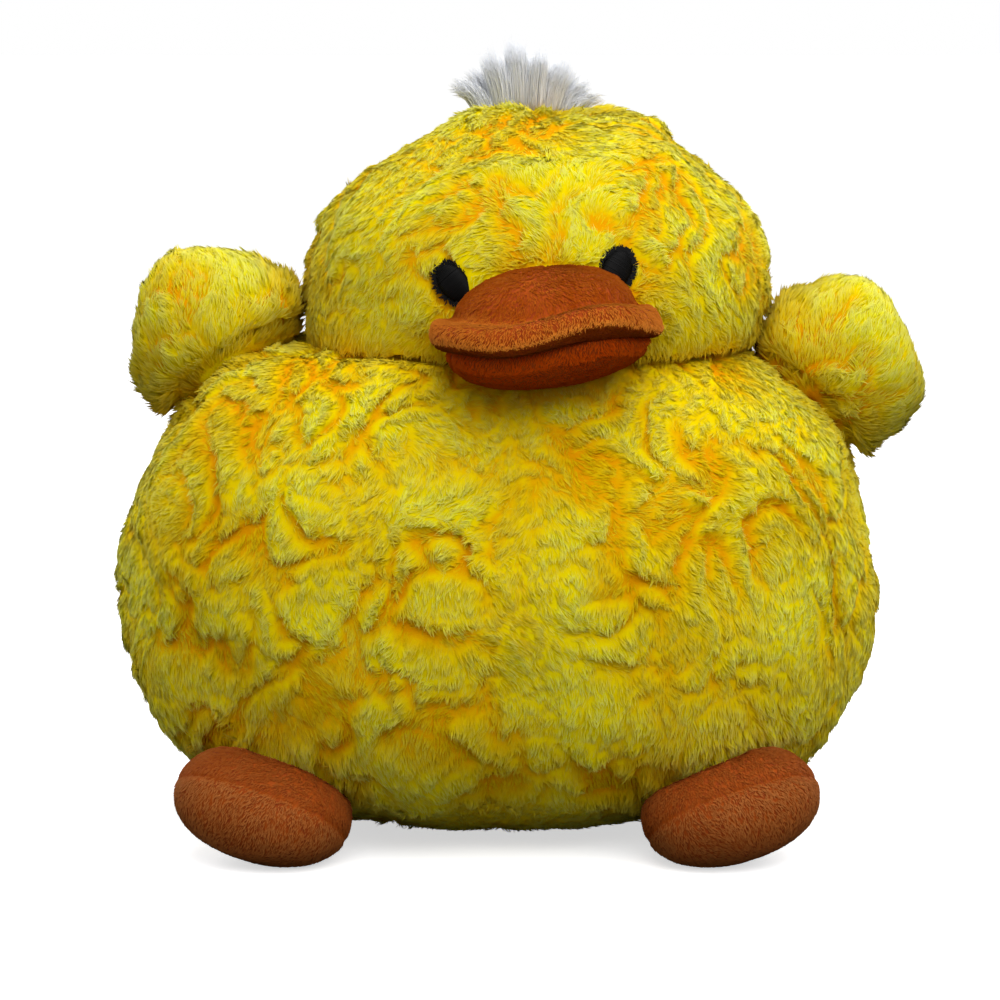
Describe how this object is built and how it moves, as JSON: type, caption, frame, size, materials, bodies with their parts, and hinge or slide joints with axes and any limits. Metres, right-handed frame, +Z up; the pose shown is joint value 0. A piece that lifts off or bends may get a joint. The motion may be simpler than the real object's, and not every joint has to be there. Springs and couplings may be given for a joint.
{
  "type": "plush duck",
  "caption": "Squat stuffed duck of long-pile cloth with a domed head, raised wings, feet, a bill with a wavy lip, stitched eyes and a crown tuft; it sits on its flat base.",
  "frame": {"origin": "middle of the flat base that the duck sits on, under the body's widest ring", "axes": "+Z up, -Y the way the duck faces, +X the duck's own left"},
  "size_m": [0.2307, 0.1742, 0.2221],
  "materials": {
    "yellow_pile": "long soft pile, matt",
    "fibre": "loose polyester fibre",
    "orange_nap": "short nap, matt",
    "rust_nap": "short nap, matt",
    "brown_nap": "short nap, matt",
    "black_thread": "satin stitch",
    "white_pile": "long soft pile, matt"
  },
  "bodies": {
    "body": {"body_front_left_panel": "yellow_pile", "body_front_right_panel": "yellow_pile", "body_back_panel": "yellow_pile", "body_base_panel": "yellow_pile", "body_filling": "fibre"},
    "head": {"head_front_panel": "yellow_pile", "head_back_panel": "yellow_pile", "head_filling": "fibre", "left_eye": "black_thread", "right_eye": "black_thread", "crest_tuft": "white_pile", "upper_bill_cover": "orange_nap", "upper_bill_lining": "rust_nap", "upper_bill_filling": "fibre", "lower_bill_cover": "rust_nap", "lower_bill_lining": "rust_nap", "lower_bill_filling": "fibre"},
    "left_wing": {"left_wing_front_panel": "yellow_pile", "left_wing_back_panel": "yellow_pile", "left_wing_filling": "fibre"},
    "left_foot": {"left_foot_upper": "brown_nap", "left_foot_sole": "brown_nap", "left_foot_filling": "fibre"},
    "right_wing": {"right_wing_front_panel": "yellow_pile", "right_wing_back_panel": "yellow_pile", "right_wing_filling": "fibre"},
    "right_foot": {"right_foot_upper": "brown_nap", "right_foot_sole": "brown_nap", "right_foot_filling": "fibre"}
  },
  "joints": [
    {"name": "head_turn", "type": "hinge", "parent": "body", "child": "head", "pos_m": [0.0113, 0, 0.147], "axis": [0, 0, 1], "range_deg": [-10, 10], "stiffness_Nm_per_rad": 0.5},
    {"name": "left_wing_swing", "type": "hinge", "parent": "body", "child": "left_wing", "pos_m": [0.0901, 0, 0.11945], "axis": [-0.5736, 0, 0.8191], "range_deg": [-15, 15], "stiffness_Nm_per_rad": 0.05},
    {"name": "right_wing_swing", "type": "hinge", "parent": "body", "child": "right_wing", "pos_m": [-0.07691, 0, 0.13109], "axis": [0.866, 0, 0.5], "range_deg": [-15, 15], "stiffness_Nm_per_rad": 0.05},
    {"name": "left_foot_lift", "type": "hinge", "parent": "body", "child": "left_foot", "pos_m": [0.06035, -0.05311, 0.01597], "axis": [-0.9412, -0.2173, -0.2588], "range_deg": [0, 15], "stiffness_Nm_per_rad": 0.05},
    {"name": "right_foot_lift", "type": "hinge", "parent": "body", "child": "right_foot", "pos_m": [-0.06035, -0.05311, 0.01597], "axis": [-0.9412, 0.2173, 0.2588], "range_deg": [0, 15], "stiffness_Nm_per_rad": 0.05}
  ]
}
